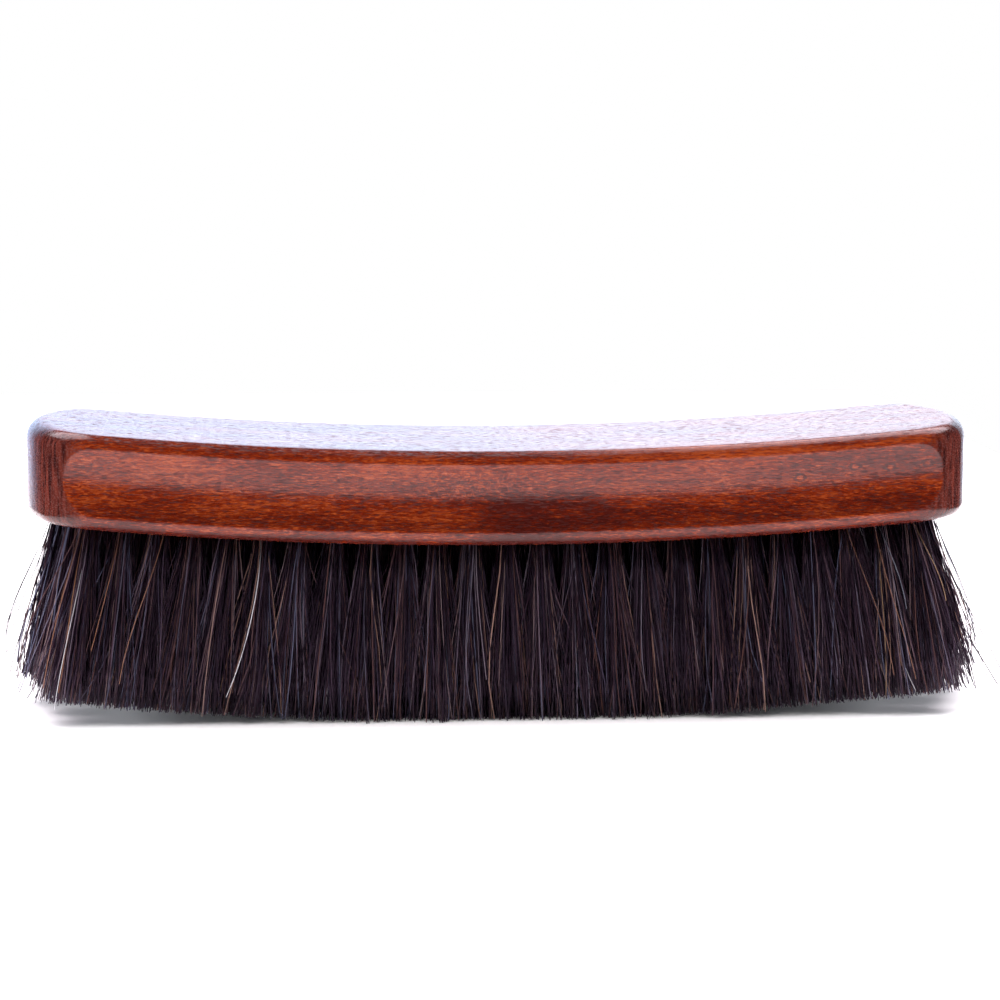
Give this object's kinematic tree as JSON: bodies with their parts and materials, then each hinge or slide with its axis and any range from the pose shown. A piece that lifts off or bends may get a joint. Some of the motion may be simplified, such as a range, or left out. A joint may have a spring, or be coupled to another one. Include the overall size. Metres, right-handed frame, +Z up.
{
  "type": "shoe shine brush",
  "caption": "Curved wooden hand brush with finger coves along both sides and rows of dark horsehair tufts, for polishing shoes.",
  "frame": {"origin": "on the resting surface, under the middle of the brush, at the worn patch of the hair tips", "axes": "+X along the brush, to the right as the picture shows it; +Y across the brush, away from the viewer; +Z up, from the hair tips to the wooden block"},
  "size_m": [0.211, 0.057, 0.0626],
  "materials": {
    "stained_beech": "mahogany stain under clear satin varnish",
    "horsehair": "natural black-brown horsehair",
    "anchor_wire": "bright flat wire"
  },
  "bodies": {
    "root": {"block": "stained_beech", "front_row_tufts": "horsehair", "second_row_tufts": "horsehair", "middle_row_tufts": "horsehair", "fourth_row_tufts": "horsehair", "back_row_tufts": "horsehair", "front_row_anchors": "anchor_wire", "second_row_anchors": "anchor_wire", "middle_row_anchors": "anchor_wire", "fourth_row_anchors": "anchor_wire", "back_row_anchors": "anchor_wire"}
  },
  "joints": []
}
